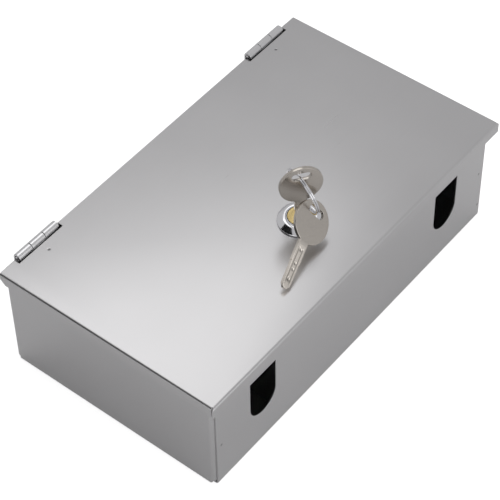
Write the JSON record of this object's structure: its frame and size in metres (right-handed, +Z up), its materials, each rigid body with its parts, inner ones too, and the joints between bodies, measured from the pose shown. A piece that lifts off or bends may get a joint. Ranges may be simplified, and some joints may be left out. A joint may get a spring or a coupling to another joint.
{
  "type": "locking rodent bait station",
  "caption": "Folded stainless-steel bait box with entry holes in its front wall, a hinged lid with a cam lock, keys on a ring, inner baffles and bait rods.",
  "frame": {"origin": "centre of the tray's underside", "axes": "+Z up; +X along the front wall, to the right as seen from in front; +Y from the front wall, which has the entry holes, to the hinge side"},
  "size_m": [0.25, 0.145, 0.113],
  "materials": {
    "brushed_stainless": "brushed stainless sheet with a soft grain",
    "hinge_steel": "rolled stainless, slightly brighter than the sheet",
    "rod_wire": "drawn stainless wire",
    "lock_chrome": "polished chrome plate",
    "zinc_plate": "zinc-plated steel",
    "plug_brass": "polished brass",
    "key_nickel": "polished nickel plate",
    "ring_chrome": "bright spring wire"
  },
  "bodies": {
    "root": {"box_tray": "brushed_stainless", "hinge_body_leaf_left": "hinge_steel", "hinge_pin_left": "hinge_steel", "hinge_body_leaf_right": "hinge_steel", "hinge_pin_right": "hinge_steel", "baffle_left": "brushed_stainless", "baffle_right": "brushed_stainless", "lock_catch": "brushed_stainless"},
    "lid_assembly": {"lid": "brushed_stainless", "hinge_lid_leaf_left": "hinge_steel", "hinge_lid_leaf_right": "hinge_steel", "lock_barrel": "lock_chrome", "lock_washer": "zinc_plate", "lock_nut": "zinc_plate"},
    "plug_assembly": {"lock_plug": "plug_brass", "wafer_1": "plug_brass", "wafer_2": "plug_brass", "wafer_3": "plug_brass", "wafer_4": "plug_brass", "cam": "zinc_plate", "cam_screw": "zinc_plate"},
    "key_body": {"key": "key_nickel"},
    "ring_body": {"split_ring": "ring_chrome"},
    "spare_key_body": {"spare_key": "key_nickel"},
    "rod_front": {"bait_rod_front": "rod_wire"},
    "rod_rear": {"bait_rod_rear": "rod_wire"}
  },
  "joints": [
    {"name": "lid_hinge", "type": "hinge", "parent": "root", "child": "lid_assembly", "pos_m": [0, 0.06885, 0.07315], "axis": [-1, 0, 0], "range_deg": [0, 180]},
    {"name": "lock_turn", "type": "hinge", "parent": "lid_assembly", "child": "plug_assembly", "pos_m": [0, -0.0313, 0.073], "axis": [0, 0, 1], "range_deg": [0, 90]},
    {"name": "key_slide", "type": "slide", "parent": "plug_assembly", "child": "key_body", "axis": [0, 0, 1], "range_m": [0, 0.016]},
    {"name": "ring_swivel", "type": "hinge", "parent": "key_body", "child": "ring_body", "pos_m": [-0.00117, -0.03049, 0.10718], "axis": [0, 0, 1], "range_deg": [-38, 22]},
    {"name": "spare_key_swing", "type": "hinge", "parent": "ring_body", "child": "spare_key_body", "pos_m": [-0.00099, -0.04336, 0.08756], "axis": [0.358, 0.375, -0.8551], "range_deg": [0, 45]},
    {"name": "rod_front_lift", "type": "slide", "parent": "root", "child": "rod_front", "axis": [0, 0, 1], "range_m": [0, 0.022]},
    {"name": "rod_rear_lift", "type": "slide", "parent": "root", "child": "rod_rear", "axis": [0, 0, 1], "range_m": [0, 0.022]}
  ]
}
